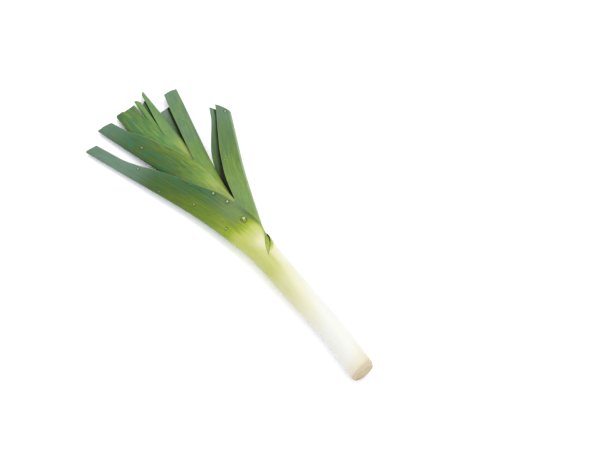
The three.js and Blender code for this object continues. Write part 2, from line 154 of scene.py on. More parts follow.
LEAVES = [dict(
    name="leaf_1", side=1, length=237, slant=0.62, tuck=0.0,
    head=[[0, 6], [30, 12.5], [65, 14.5], [90, 18], [120, 20.3], [237, 21]],
    half=[[6, 14.6], [12, 15.2], [23, 16.7], [32, 18.1], [45, 19.6], [68, 22], [90, 25], [118, 26.2],
          [155, 22], [178, 16], [200, 13], [237, 13.2]],
    rise=[[20, 13], [40, 11.9], [70, 10.1], [100, 8.8], [145, 7.3], [195, 5.8], [237, 5.0]],
    front=[[0, 81], [8, 96], [16, 121], [25, 151], [32, 160], [46, 148], [68, 128], [90, 109], [118, 92],
           [155, 87], [237, 82]],
    back=[[0, 276], [6, 246], [14, 206], [22, 170], [30, 143], [42, 125], [68, 108], [90, 100],
          [118, 90], [155, 87], [237, 84]],
    tone=[[0, 16], [20, 13], [33, 22], [44, 44], [60, 62], [105, 102], [140, 130], [160, 140],
          [237, 140]],
    lead=[[0, -42], [14, -44], [23, -18], [31, 2], [39, 18], [60, 16], [87, 36], [110, 44], [135, 30],
          [165, 10], [240, 0]],
    fresh=[[170, 0], [190, 0.1], [237, 0.05]],
    bloom=[[40, 0], [60, 0.45], [80, 0.2], [110, 0], [150, 0.1], [172, 0.7], [200, 1], [237, 1]],
    teal=[[75, 0], [95, 0.7], [180, 0.8], [200, 0.3], [237, 0.2]],
    stain=[[90, 0.1], [115, 0.5], [165, 0.7], [190, 0.1], [237, 0]],
    nick=[[-1, 0.4], [0, 0], [0.5, 0.5], [1, 0.2]],
    ribs=0.05, keel=(0.15, 1.3), keel_bloom=0.1
), dict(
    name="leaf_2", side=-1, length=185, slant=-0.75, tuck=0.42,
    head=[[0, 1], [20, 3.5], [32, 13], [42, 19], [60, 19.5], [90, 20], [115, 22], [140, 23.8],
          [185, 23.8]],
    half=[[10, 13.2], [25, 15], [40, 17], [70, 21.5], [110, 27.5], [130, 27.5], [160, 25], [185, 21.5]],
    rise=[[20, 11.8], [40, 10.7], [70, 9.1], [100, 8.3], [145, 8.2], [185, 7.6]],
    front=[[0, 100], [70, 85], [100, 80], [136, 77], [185, 74]],
    back=[[0, 258], [30, 180], [70, 118], [95, 95], [110, 91], [132, 98], [155, 94], [185, 91]],
    tone=[[0, 28], [10, 40], [18, 52], [24, 68], [33, 50], [42, 36], [53, 48], [70, 58], [100, 66],
          [120, 82], [145, 112], [185, 118]],
    fresh=[[26, 0], [40, 0.3], [70, 0.55], [100, 0.35], [140, 0.25], [185, 0.2]],
    bloom=[[40, 0.2], [60, 0.45], [90, 0.3], [120, 0.1], [150, 0.25], [175, 0.6], [185, 0.75]],
    teal=[[90, 0.1], [120, 0.35], [185, 0.3]],
    stain=[[100, 0.3], [185, 0.2]],
    nick=[[-1, 0.9], [-0.4, 0.2], [0, 0.5], [0.4, 0], [0.8, 0.7], [1, 1.6]],
    ribs=0.05, keel=(1.0, 5.0), inner_bloom=0.9, fold_shade=1.0
), dict(
    name="leaf_3", side=1, length=247, slant=0.5, tuck=0.35,
    head=[[0, 0], [55, 4], [105, 12], [155, 17.5], [247, 18]],
    half=[[50, 16], [95, 24], [135, 30], [196, 23.8], [220, 18], [247, 15.8]],
    rise=[[40, 9.6], [70, 8.2], [100, 7.4], [145, 6.4], [195, 5.6], [247, 4.8]],
    front=[[0, 175], [30, 140], [60, 112], [95, 93], [247, 86]],
    back=[[0, 175], [30, 140], [60, 112], [95, 93], [247, 86]],
    tone=[[0, -60], [60, 6], [95, 40], [112, 60], [130, 108], [160, 145], [247, 150]],
    lead=[[0, 0], [90, -10], [115, -28], [140, -60], [168, -60], [195, -22], [215, 0], [247, 0]],
    fresh=[[90, 0.4], [122, 0.5], [140, 0.2], [180, 0.05], [247, 0.1]],
    bloom=[[90, 0.1], [110, 0.1], [130, 0], [205, 0.05], [225, 0.4], [247, 0.75]],
    teal=[[110, 0.1], [130, 0.4], [150, 0.6], [190, 0.7], [220, 1], [247, 0.8]],
    stain=[[130, 0.5], [150, 1], [210, 1], [228, 0.3], [247, 0.1]],
    nick=[[-1, 0.6], [0, 0.2], [0.4, 0.7], [0.7, 0.1], [1, 0.5]],
    ribs=0.06, keel=(0.2, 1.3), striping=0.22
), dict(
    name="leaf_4", side=-1, length=238, slant=0.25, short=12, tuck=0.25,
    head=[[0, 0], [65, 1.5], [125, 10], [175, 12.5], [238, 11.5]],
    half=[[50, 13], [95, 17], [135, 18.8], [205, 19], [238, 18]],
    rise=[[40, 8.4], [70, 7.1], [100, 6.3], [145, 5.6], [195, 5.4], [238, 5.2]],
    front=[[0, 172], [40, 135], [75, 100], [110, 84], [238, 84]],
    back=[[0, 172], [40, 136], [75, 106], [110, 96], [170, 104], [238, 118]],
    tone=[[0, -80], [60, 0], [95, 34], [120, 52], [140, 66], [160, 88], [238, 96]],
    fresh=[[90, 0.3], [120, 0.5], [180, 0.6], [238, 0.45]],
    bloom=[[100, 0.1], [120, 0.2], [150, 0.1], [180, 0.45], [210, 0.4], [238, 0.85]],
    teal=[[150, 0.1], [180, 0.5], [238, 0.6]],
    stain=[[150, 0.2], [238, 0.5]],
    nick=[[-1, 0.8], [0, 0.3], [0.35, 0.9], [0.7, 0.2], [1, 0.9]],
    # Its inside's bloom is raised past the outside's as painted light on the shaded inside of its lower
    # half.
    ribs=0.05, keel=(0.25, 1.3), inner_bloom=1.4, fold_shade=1.0
), dict(
    name="leaf_5", side=1, length=246, slant=0.05, tuck=0.1,
    head=[[0, 0], [55, 3], [115, 11], [175, 9.5], [215, 5.5], [246, 0]],
    half=[[60, 13], [110, 20], [160, 25], [246, 25.5]],
    rise=[[40, 7.1], [70, 5.9], [100, 5.1], [145, 4.6], [195, 4.5], [246, 4.3]],
    front=[[0, 168], [40, 140], [80, 105], [120, 90], [246, 85]],
    back=[[0, 168], [40, 140], [80, 105], [120, 90], [246, 88]],
    tone=[[0, -90], [90, 20], [120, 44], [150, 62], [172, 84], [205, 130], [246, 130]],
    lead=[[0, 0], [140, 0], [168, -44], [192, -44], [214, -12], [246, -14]],
    fresh=[[110, 0.2], [145, 0.5], [165, 1], [190, 0.9], [210, 0.55], [246, 0.35]],
    bloom=[[200, 0], [246, 0.05]],
    teal=[[155, 0.1], [190, 0.4], [225, 0.7], [246, 0.4]],
    stain=[[180, 0.25], [220, 0.5], [246, 0.6]],
    nick=[[-1, 0.4], [0, 2.4], [0.12, 1.0], [0.25, 0.2], [0.55, 0.2], [0.61, 1.6], [0.8, 1.3], [1, 0.6]],
    ribs=0.09, keel=(0.2, 1.3), striping=0.42, lean=0.7
), dict(
    name="leaf_6", side=-1, length=254, slant=0.6, short=7, tuck=0.15,
    head=[[0, 1], [60, 1], [120, 0], [254, -0.4]],
    half=[[60, 10], [120, 14], [190, 14], [210, 11.5], [235, 7], [254, 4.5]],
    rise=[[40, 5.8], [70, 4.7], [100, 3.9], [145, 3.4], [195, 3.4], [254, 3.2]],
    front=[[0, 165], [50, 130], [100, 95], [150, 88], [254, 85]],
    back=[[0, 165], [50, 130], [100, 95], [150, 92], [200, 115], [235, 140], [254, 150]],
    tone=[[0, -100], [110, 20], [135, 24], [170, 22], [187, 54], [254, 76]],
    fresh=[[130, 0.3], [170, 0.5], [195, 0.8], [254, 0.8]],
    bloom=[[160, 0], [190, 0.25], [254, 0.3]],
    teal=[[180, 0.1], [254, 0.3]],
    stain=[[254, 0.2]],
    nick=[[-1, 2.5], [-0.4, 0.6], [0, 0], [0.5, 0.9], [1, 2.2]],
    ribs=0.05, keel=(0.6, 1.5), striping=0.45, fold_shade=1.0
), dict(
    name="leaf_7", side=1, length=249, slant=0.7, tuck=0.0,
    head=[[0, 0], [75, 3], [125, 2.5], [175, -0.8], [249, -2.4]],
    half=[[60, 7], [120, 7.2], [195, 5.4], [249, 5.2]],
    rise=[[40, 4.5], [70, 3.5], [100, 2.8], [145, 2.4], [249, 2.4]],
    front=[[0, 160], [60, 120], [110, 95], [249, 92]],
    back=[[0, 160], [60, 120], [110, 95], [249, 88]],
    tone=[[0, -100], [120, 20], [160, 36], [190, 36], [249, 36]],
    fresh=[[130, 0.3], [180, 0.7], [205, 1], [249, 1]],
    bloom=[[200, 0], [249, 0.1]],
    teal=[[180, 0.05], [249, 0.1]],
    stain=[[249, 0.1]],
    nick=[[-1, 3.4], [-0.5, 1.0], [0, 1.4], [0.3, 0], [0.7, 0.4], [1, 3.0]],
    ribs=0.12, keel=(0.4, 1.3), striping=0.34
)]


# ---- small helpers ----
def level(x, y):
    """Height of the leaves' middle level over points of the plan."""
    out = np.maximum(0, x - NECK_X)
    return level_out(out * np.hypot(1, (y - NECK_Y) / (out + LEVEL_SPREAD)))


def soft_min(a, b, softness):
    return (a + b - np.hypot(a - b, softness)) / 2


def smooth(value, low, high):
    """0 below low, 1 above high and a smooth step between, for arrays."""
    t = np.clip((value - low) / (high - low), 0, 1)
    return t * t * (3 - 2 * t)


# ---- a leaf's shape ----
# Stations at which the margins are fitted to the leaves round them.
MARGIN_STATIONS = [0, 5, 10, 15, 20, 25, 30, 35, 41, 48, 56, 65, 76, 89, 104, 122, 142, 165,
                   190, 214]


class Leaf:
    """The surface of one leaf, addressed by station, angle round the section and inset."""

    def __init__(self, order, data):
        self.order = order
        radius = NECK_RADIUS - SHEATH_PITCH * order
        # At the neck a leaf has the sheath's radius, and none of the marks.
        for key, value in {**USUAL, **data}.items():
            if key in ("half", "rise"):
                value = [[0, radius]] + value
            if key in ("fresh", "bloom", "teal", "stain"):
                value = [[0, 0]] + value
            setattr(self, key, profile(value) if isinstance(value, list) else value)
        steps = np.arange(1, int(self.length + PATH_BEYOND) + 1)
        turn = self.heading(steps - 0.5)
        self.path_x = NECK_X + np.concatenate([[0], np.cumsum(np.cos(turn))])
        self.path_y = NECK_Y + self.side * radius + np.concatenate([[0], np.cumsum(np.sin(turn))])

    def heading(self, l):
        return np.radians(self.head(np.clip(l, 0, self.length))) * self.side

    def plan(self, l, d):
        """The point of the plan at distance l along the keel and d inward from it."""
        t = self.heading(l)
        i = np.clip(np.floor(l).astype(int), 0, len(self.path_x) - 2)
        f = l - i
        x, y = (path[i] + (path[i + 1] - path[i]) * f for path in (self.path_x, self.path_y))
        return x + self.side * np.sin(t) * d, y - self.side * np.cos(t) * d

    def locate(self, x, y):
        """The reverse of plan(), by stepping closer a few times."""
        l = x - NECK_X
        for _ in range(6):
            keel_x, keel_y = self.plan(l, 0)
            t = self.heading(l)
            l = l + (x - keel_x) * np.cos(t) + (y - keel_y) * np.sin(t)
            d = self.side * ((x - keel_x) * np.sin(t) - (y - keel_y) * np.cos(t))
        return l, d

    def room(self, x, y, deep, extra, below):
        """Height that this leaf leaves free on either side of the middle level, for the
        inner surface of a leaf `deep` layers further in, kept `extra` mm inside it."""
        l, d = self.locate(x, y)
        off = deep * (SHEET + GAP) + extra
        keel_off = off + keel_sheet(l) - SHEET
        a = self.half(l) - keel_off
        b = self.rise(l) - off
        b = np.where(below, np.minimum(b, level(x, y) - off), b)
        u = d - keel_off
        front, back = self.front(l), self.back(l)
        near, far = np.where(below, back, front), np.where(below, front, back)
        margin = np.minimum(180, np.where(far > 180, 180, near))
        angle = np.degrees(np.arccos(np.clip(1 - u / a, -1, 1)))
        edge = self.half(l) * (1 - np.cos(np.radians(margin)))
        clear = np.maximum(0, d - edge - LIP) + np.maximum(0, l - self.length - LIP)
        over = b * np.sin(np.radians(np.minimum(angle, np.maximum(90, margin))))
        return np.where(u <= 0, 0, over + RELAX * clear)

    def margin(self, which):
        """The front or back margin's angle: it stops short of the fold of any leaf round it."""
        stations = [s for s in MARGIN_STATIONS if s < self.length - 12] + [self.length]
        knots = []
        for station in np.array(stations, float):
            angle = float(getattr(self, which)(station))
            while LEAST_MARGIN < angle < OPEN_MARGIN and not self.margin_clear(station, angle):
                angle -= MARGIN_STEP
            knots.append([station, angle])
        return profile(knots)

    def margin_clear(self, station, angle):
        """Whether a margin at this angle is clear of the folds of the leaves round it."""
        out = self.half(station) * (1 - math.cos(math.radians(angle)))
        x, y = self.plan(np.array([station]), out)
        for outer in leaves[:self.order]:
            l, d = outer.locate(x, y)
            kept = (self.order - outer.order) * (SHEET + GAP) + keel_sheet(l) - SHEET
            if d[0] <= kept[0] + FOLD_CLEAR:
                return False
        return True

    def point(self, station, angle, inset=0.0):
        """Points (mm) of the outer surface, inset 0, or the inner one, inset 1."""
        c = 1 - np.cos(np.radians(angle))
        short = np.where(angle < 0, self.short * np.minimum(1, c / SHORT_FOLD), 0)
        tip = self.slant * self.half(self.length) * c + short
        square = np.tan(abs(self.heading(0.0))) * self.half(0.0) * c
        l = (station - tip * np.minimum(1, station / self.length) ** TIP_POWER
             - square * np.maximum(0, 1 - station / SQUARE_OFF) ** 2)
        keel_in = inset * keel_sheet(l)
        x, y = self.plan(l, keel_in + (self.half(l) - keel_in) * c)
        rise = (self.rise(l) - inset * SHEET) * np.sin(np.radians(angle))
        below = rise < 0
        middle = level(x, y)
        high = np.abs(rise)
        for outer in leaves[:self.order]:
            extra = self.tuck + inset * SHEET
            room = outer.room(x, y, self.order - outer.order, extra, below)
            high = soft_min(high, room, BLEND)
        high = np.where(below, np.minimum(high, middle - inset * SHEET), high)
        return np.stack([x + SEAM / 2, y, middle + np.where(below, -high, high)], -1)


leaves = [Leaf(order, data) for order, data in enumerate(LEAVES)]

# ---- from the leek's axes to the frame ----
shank_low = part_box("shank")[0]
plate_low, plate_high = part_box("root_plate")
ORIGIN = np.array([shank_low.x / MM,
                   (plate_low.y + plate_high.y) / 2 / MM - float(shank_centre(0.0)), 0.0])


def place(points):
    """Points in the leek's axes, mm, as points of the frame, metres."""
    return (np.asarray(points, float) + ORIGIN) * MM


# ---- meshes ----
def unit(vectors):
    return vectors / np.maximum(np.linalg.norm(vectors, axis=-1, keepdims=True), 1e-9)


def add_object(name, data):
    obj = bpy.data.objects.new(name, data)
    bpy.context.scene.collection.objects.link(obj)
    return obj


def make_piece(name, points, faces, materials, fields, indices=None, sharp=50):
    """A smooth-shaded mesh of points in mm, kept within the CAD model's box, with per-point
    vector fields for its material."""
    mesh = bpy.data.meshes.new(name)
    placed = np.clip(place(points), *np.array([list(corner) for corner in cad_box]))
    mesh.from_pydata(placed.tolist(), [], faces)
    for material in materials:
        mesh.materials.append(material)
    if indices is not None:
        mesh.polygons.foreach_set("material_index", np.asarray(indices, np.int32))
    for key, values in fields.items():
        attribute = mesh.attributes.new(key, "FLOAT_VECTOR", "POINT")
        attribute.data.foreach_set("vector", np.asarray(values, np.float32).ravel())
    mesh.shade_smooth()
    mesh.set_sharp_from_angle(angle=math.radians(sharp))
    mesh.update()
    return add_object(name, mesh)


def grid_faces(rows, columns, start=0, flip=False, wrap=False):
    """Quads between the points of a grid stored row by row."""
    found = []
    for i in range(rows - 1):
        for k in range(columns if wrap else columns - 1):
            n = (k + 1) % columns
            a, b = start + i * columns + k, start + i * columns + n
            quad = (a, b, b + columns, a + columns)
            found.append(quad[::-1] if flip else quad)
    return found


# ---- the leaves ----
ACROSS = 52  # grid steps from keel to margin
CLOSE_ROWS = 1.3  # row spacing near the neck, where the sheath opens, mm
CLOSE_UNTIL = 66  # station that those rows run to
WIDE_ROWS = 2.3  # row spacing further out
EDGE_WIDTH = 4.0  # width over which a leaf thins towards its margin
EDGE_THIN = 0.5  # share of its thickness that it loses there
NICK_ZONE = 10.0  # length over which the uneven cut of a tip fades out

BUCKLE_HEIGHT = 0.175  # of the shallow waves in the blades, mm
LOWER_RELIEF = 0.3  # share of the relief that shows on a leaf's lower half
LEAST_SHEET = 0.25  # thickness left where a lower half is pressed on the table, mm

# Ribs over the veins: the waves that make them up, as length (mm over 2 pi), height and turn.
RIB_WAVES = [(0.62, 1.0, 1.0), (0.97, 0.8, 2.3), (1.75, 0.7, 0.9)]
RIB_TURN = 1.7  # by which each leaf's ribs are out of step with the last one's

# Ranges over which things fade in: by station, by distance from the keel or a margin (mm),
# by t, or by fold: 0 at the keel, 1 a quarter of the way round and 2 opposite the keel.
RIB_STATIONS, RIB_OFF_MARGIN, RIB_OFF_KEEL = (20, 60), (1, 5), (1, 4)
BUCKLE_STATIONS, BUCKLE_OFF_KEEL = (10, 50), (0.5, 8)
LEAD_FOLD = (0.25, 1.0)
WAX_FOLD, WAX_STATIONS = (0.45, 1.0), (130, 175)
TEAL_FOLD = (0.35, 0.8)  # on the outermost leaf, whose keel side has no blue-green
FRESH_T = (0.1, 0.6)

# The outermost leaf at the collar, where its sheath opens.
JOIN_STATIONS = (0, 14)  # where its tone leaves the shank's
LIP_TONE = 40  # of its lower margin there
LIP_T, LIP_OFF_MARGIN = (0.3, 0.6), (3, 7)
LIP_COMES, LIP_GOES = (0, 7), (26, 34)
CROTCH_LEAD = 50  # how much greener its upper margin is where the next leaf comes out
CROTCH_T, CROTCH_REACH = (0.5, 0.8), (0.15, 1.2)
CROTCH_COMES, CROTCH_GOES = (12, 22), (45, 70)
CROTCH_WIDTH, CROTCH_SPREAD, SPREAD_STATIONS = 3, 6, (18, 35)

# Painted shade: the bottom of a leaf's fold, seen between its two halves, is darkened in colour to stand
# in for the shade there.
DARK_FOLD = 0.08  # how far round from the upper margin it starts
MOUTH_DEPTH = 0.2  # how much further where the leaves still hold each other
MOUTH_STATIONS, DARK_STATIONS = (95, 130), (35, 60)
DARK_BETWEEN = (0.3, 1.6)
INSIDE_FRESH, INSIDE_TEAL = 0.2, 0.6  # least of both on a leaf's inside

# The shank's tone a quarter of the way round from the keel's side, against the distance
# from the neck, and how fast it falls from there towards the far side.
SHANK_TONE = profile([[-155, -150], [-152.6, -142], [-138, -110], [-100, -72], [-55, -30],
                      [-30, -13], [-10, 6], [0, 6]])
SHANK_FALL = profile([[-155, 8], [-100, 20], [-55, 35], [-30, 34], [-10, 52], [0, 46]])


def shank_tone(along, fold):
    """The shank's tone at a distance from the neck, which is negative, and a fold."""
    return SHANK_TONE(along) - SHANK_FALL(along) * (np.maximum(fold, 0.45) - 0.5)


def leaf_rows(leaf):
    """Stations of a leaf's rows, closer together where the sheath opens."""
    near = np.arange(0, CLOSE_UNTIL, CLOSE_ROWS)
    left = leaf.length - CLOSE_UNTIL
    return np.concatenate([near, np.linspace(CLOSE_UNTIL, leaf.length, int(left / WIDE_ROWS))])


def ribbing(leaf, along, across, edge):
    """Height of the ribs over the veins, mm, fading out at the sheath, keel and margin."""
    wave = sum(height * np.sin(across / length + turn * RIB_TURN * leaf.order)
               for length, height, turn in RIB_WAVES)
    fade = (smooth(along, *RIB_STATIONS) * smooth(edge, *RIB_OFF_MARGIN)
            * smooth(np.abs(across), *RIB_OFF_KEEL))
    return leaf.ribs * wave / sum(height for _, height, _ in RIB_WAVES) * fade


def buckling(x, y):
    """Shallow waves that all the layers share, about -1 to 1."""
    return (np.sin(x / 7.3 + y / 11.0) * np.sin(y / 9.1 - x / 23.0 + 0.8)
            + 0.6 * np.sin(x / 17.0 - y / 6.3 + 2.0))


def leaf_grid(leaf):
    """Stations, t and angles of a leaf's grid points."""
    stations, t = np.meshgrid(leaf_rows(leaf), np.linspace(-1, 1, 2 * ACROSS + 1), indexing="ij")
    front, back = leaf.margin("front")(stations), leaf.margin("back")(stations)
    angle = np.where(t > 0, t * front, t * back)
    nick = leaf.nick(t) * smooth(stations, leaf.length - NICK_ZONE, leaf.length)
    return stations - nick, t, angle


def surface_normals(outer, inner):
    normals = unit(np.cross(np.gradient(outer, axis=0), np.gradient(outer, axis=1)))
    outward = np.sum(normals * (outer - inner), -1, keepdims=True)
    return normals * np.where(outward < 0, -1, 1)


def arc_from_keel(outer):
    """Signed distance from the keel along each row, mm."""
    step = np.linalg.norm(np.diff(outer, axis=1), axis=-1)
    run = np.concatenate([np.zeros((len(outer), 1)), np.cumsum(step, axis=1)], axis=1)
    return run - run[:, ACROSS:ACROSS + 1]


def leaf_sheet(leaf):
    """Outer and inner points of a leaf, with each one's station, t, angle, distance from the
    keel along the section and distance from the margin."""
    stations, t, angle = leaf_grid(leaf)
    bare = leaf.point(stations, angle)
    across = arc_from_keel(bare)
    edge = np.where(t > 0, across[:, -1:] - across, across - across[:, :1])
    inner = leaf.point(stations, angle, 1 - EDGE_THIN * (1 - smooth(edge, 0, EDGE_WIDTH)))
    calm = smooth(stations, *BUCKLE_STATIONS) * smooth(np.abs(across), *BUCKLE_OFF_KEEL)
    lift = (ribbing(leaf, stations, across, edge)
            + BUCKLE_HEIGHT * calm * buckling(bare[..., 0], bare[..., 1]))
    lift = lift * np.where(t < -0.02, LOWER_RELIEF, 1)
    shift = surface_normals(bare, inner) * lift[..., None]
    outer, inner = bare + shift, inner + shift
    outer[..., 2] = np.maximum(outer[..., 2], 0)
    inner[..., 2] = np.maximum(inner[..., 2], LEAST_SHEET)
    return outer, inner, (stations, t, angle, across, edge)


def collar_tone(tone, stations, t, fold, edge):
    """The outermost leaf's tone: it takes over the shank's, is yellow along its lower margin
    and green where the next leaf comes out."""
    joined = shank_tone(stations * 0, fold)
    tone = joined + (tone - joined) * smooth(stations, *JOIN_STATIONS)
    lip = (smooth(-t, *LIP_T) * (1 - smooth(edge, *LIP_OFF_MARGIN))
           * (smooth(stations, *LIP_COMES) - smooth(stations, *LIP_GOES)))
    band = CROTCH_WIDTH + CROTCH_SPREAD * smooth(stations, *SPREAD_STATIONS)
    crotch = (smooth(t, *CROTCH_T) * (1 - smooth(edge / band, *CROTCH_REACH))
              * (smooth(stations, *CROTCH_COMES) - smooth(stations, *CROTCH_GOES)))
    return tone + (LIP_TONE - tone) * lip + CROTCH_LEAD * crotch


def leaf_fields(leaf, stations, t, angle, across, edge):
    """What a leaf's materials read, for its outside and for its inside."""
    fold = 1 - np.cos(np.radians(angle))
    tone = leaf.tone(stations) + leaf.lead(stations) * smooth(fold, *LEAD_FOLD)
    cover = np.maximum(smooth(fold, *WAX_FOLD), smooth(stations, *WAX_STATIONS))
    bloom = leaf.bloom(stations) * (leaf.keel_bloom + (1 - leaf.keel_bloom) * cover)
    fresh = leaf.fresh(stations) * (1 - leaf.lean * (1 - smooth(t, *FRESH_T)))
    teal, stain = leaf.teal(stations), leaf.stain(stations)
    if leaf.order == 0:
        teal = teal * smooth(fold, *TEAL_FOLD)
        tone = collar_tone(tone, stations, t, fold, edge)
    margin_fold = 1 - np.cos(np.radians(leaf.margin("front")(stations)))
    mouth = DARK_FOLD + MOUTH_DEPTH * (1 - smooth(stations, *MOUTH_STATIONS))
    low, high = (margin_fold + share * mouth for share in DARK_BETWEEN)
    # Painted shade: deep darkens the inside's colour towards the bottom of its fold.
    deep = (1 - smooth(fold, low, high)) * smooth(stations, *DARK_STATIONS) * leaf.fold_shade
    skin = (stations, across, tone)
    outside = {"skin": skin, "film": (bloom, fresh, edge), "tint_and_shade": (teal, stain, 0 * teal)}
    inside = {"skin": skin,
              "film": (bloom * leaf.inner_bloom * (1 - deep),
                       np.maximum(fresh, INSIDE_FRESH) * (1 - deep), edge),
              "tint_and_shade": (np.maximum(teal, INSIDE_TEAL) * (1 - deep), 0 * teal, deep)}
    return [{key: np.stack(parts, -1).reshape(-1, 3) for key, parts in side.items()}
            for side in (outside, inside)]


def leaf_piece(leaf, materials):
    """One leaf as a closed sheet: two faces joined along the margins and both ends."""
    outer, inner, grid = leaf_sheet(leaf)
    outside, inside = leaf_fields(leaf, *grid)
    rows, columns = outer.shape[:2]
    count = rows * columns
    flip = leaf.side < 0
    faces = grid_faces(rows, columns, flip=flip) + grid_faces(rows, columns, count, not flip)
    material = [0] * (len(faces) // 2) + [2] * (len(faces) // 2)
    last = (rows - 1) * columns

    def strip(pairs, index):
        """Joins the two faces along a row of points."""
        for a, b in pairs:
            quad = (b, a, a + count, b + count)
            faces.append(quad[::-1] if flip else quad)
            material.append(index)

    strip([(k, k + 1) for k in range(columns - 1)], 0)
    strip([(last + k + 1, last + k) for k in range(columns - 1)], 1)
    strip([((i + 1) * columns, i * columns) for i in range(rows - 1)], 0)
    strip([(i * columns + columns - 1, (i + 1) * columns + columns - 1) for i in range(rows - 1)], 0)

    fields = {key: np.concatenate([outside[key], inside[key]]) for key in outside}
    points = np.concatenate([outer.reshape(-1, 3), inner.reshape(-1, 3)])
    piece = make_piece(leaf.name + "_blade", points, faces, materials, fields, material)
    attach(piece, "root")
    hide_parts(leaf.name)
    return piece


# ---- the shank ----
SHANK_COLUMNS = 160
SHANK_ROW = 1.5  # row spacing, mm
ROUND_ROWS = [0, 0.3, 0.7, 1.2, 1.8, 2.5, 3.4, 4.6]  # rows over its rounded end
ROUND_END = 6  # where that ends
LINE_DEPTH = 0.05  # of the sheath's fine lines, mm
CREASE_AT = 84.0  # where the outer sheath's two margins meet, degrees from its keel
CREASE_LENGTH = 38.0  # how far down from the neck the crease between them shows
CREASE_DEPTH = 0.22
CREASE_GREEN = 24  # how much greener the skin is there
CREASE_WIDTH = 0.9
NO_MARGIN = 20  # stands for its distance from a margin, because it has none
CREASE_BAND = 2.6  # how many times wider than the crease the greener band along it is


def shank_piece(material):
    """The white shank, its sheath's fine lines pressed in, closed by a face at each end."""
    end = NECK_X + SEAM / 2
    x = np.concatenate([ROUND_ROWS,
                        np.linspace(ROUND_END, end, int((end - ROUND_END) / SHANK_ROW))])
    angle = np.linspace(-180, 180, SHANK_COLUMNS, endpoint=False)
    x, angle = np.meshgrid(x, angle, indexing="ij")
    radius = shank_radius(x) * shank_rounding(x)
    turn = np.radians(angle)
    lines = (np.sin(angle * 0.7 + 1) ** 2 + np.sin(angle * 0.43 + x / 40) ** 2) / 2
    depth = LINE_DEPTH * lines * smooth(x, 0, 2 * ROUND_END)
    from_crease = (angle - CREASE_AT) * math.pi / 180 * radius / CREASE_WIDTH
    near_neck = smooth(x, NECK_X - CREASE_LENGTH, NECK_X)
    crease = CREASE_DEPTH * near_neck * np.exp(-from_crease**2)
    depth = (depth + crease) * smooth(end - x, -0.5, 2)
    radius = radius - depth
    centre_z = shank_radius(x) - FLAT
    points = np.stack([x, shank_centre(x) + radius * np.cos(turn),
                       np.maximum(0, centre_z + radius * np.sin(turn))], -1)
    rows, columns = x.shape
    faces = grid_faces(rows, columns, wrap=True)
    band = near_neck * np.exp(-(from_crease / CREASE_BAND) ** 2)
    tone = shank_tone(x - NECK_X, 1 - np.cos(turn)) + CREASE_GREEN * band
    skin = np.stack([x - NECK_X, turn * NECK_RADIUS, tone], -1).reshape(-1, 3)
    film = np.zeros_like(skin)
    film[:, 2] = NO_MARGIN
    faces.append(tuple(range(columns))[::-1])
    faces.append(tuple(range((rows - 1) * columns, rows * columns)))
    piece = make_piece("shank_skin", points.reshape(-1, 3), faces, [material],
                       {"skin": skin, "film": film, "tint_and_shade": 0 * skin})
    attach(piece, "root")
    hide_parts("shank")
    return piece


# ---- the root plate ----
PLATE_COLUMNS = 120
PLATE_RINGS = 30
RIM_STARTS = 0.86  # share of the radius where the rounded rim starts
TROUGH_AT, TROUGH_WIDTH, TROUGH_DEPTH = 0.80, 0.05, 0.28
STUB_HEIGHT = 0.16  # of the stubs of cut roots, mm
DOME_HEIGHT = 0.22
HOLLOW_DEPTH = 0.18


def root_piece(material):
    """The trimmed root plate: a rounded rim, a shallow trough and the stubs of cut roots."""
    share = np.linspace(0, 1, PLATE_RINGS)
    turn = np.linspace(0, 2 * math.pi, PLATE_COLUMNS, endpoint=False)
    share, turn = np.meshgrid(share[::-1], turn, indexing="ij")
    radius = PLATE_RADIUS * share
    over = np.maximum(share - RIM_STARTS, 0) / (1 - RIM_STARTS)
    rim = PLATE_RISE * np.sqrt(np.clip(1 - over**2, 0, 1))
    trough = TROUGH_DEPTH * np.exp(-((share - TROUGH_AT) / TROUGH_WIDTH) ** 2)
    stubs = (np.sin(turn * 19 + 4 * share) * np.sin(share * 26 + 2.4 * np.sin(turn * 5)))
    rough = STUB_HEIGHT * stubs * smooth(share, 0.15, 0.4) * (1 - smooth(share, 0.84, 0.92))
    dome = DOME_HEIGHT * (smooth(share, 0.25, 0.75) - 1)
    hollow = HOLLOW_DEPTH * (1 - smooth(share, 0, 0.9))
    rise = np.clip(rim - trough + rough + dome - hollow, 0, PLATE_RISE)
    centre_y, centre_z = float(shank_centre(0.0)), float(shank_radius(0.0)) - FLAT
    points = np.stack([-SEAM - rise, centre_y + radius * np.cos(turn),
                       centre_z + radius * np.sin(turn)], -1)[:-1]
    back = points[:1].copy()
    back[..., 0] = 0.0
    hub = np.array([[-SEAM - float(rise[-1, 0]), centre_y, centre_z]])
    points = np.concatenate([back, points])
    rows, columns = points.shape[:2]
    faces = grid_faces(rows, columns, flip=True, wrap=True)
    last = (rows - 1) * columns
    faces += [(last + (k + 1) % columns, last + k, last + columns) for k in range(columns)]
    faces.append(tuple(range(columns)))
    flat = np.concatenate([points.reshape(-1, 3), hub])
    across, up = flat[:, 1] - centre_y, flat[:, 2] - centre_z
    field = np.stack([np.hypot(across, up), across, up], -1)
    piece = make_piece("root_face", flat, faces, [material], {"disc": field}, sharp=60)
    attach(piece, "root")
    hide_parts("root_plate")
    return piece


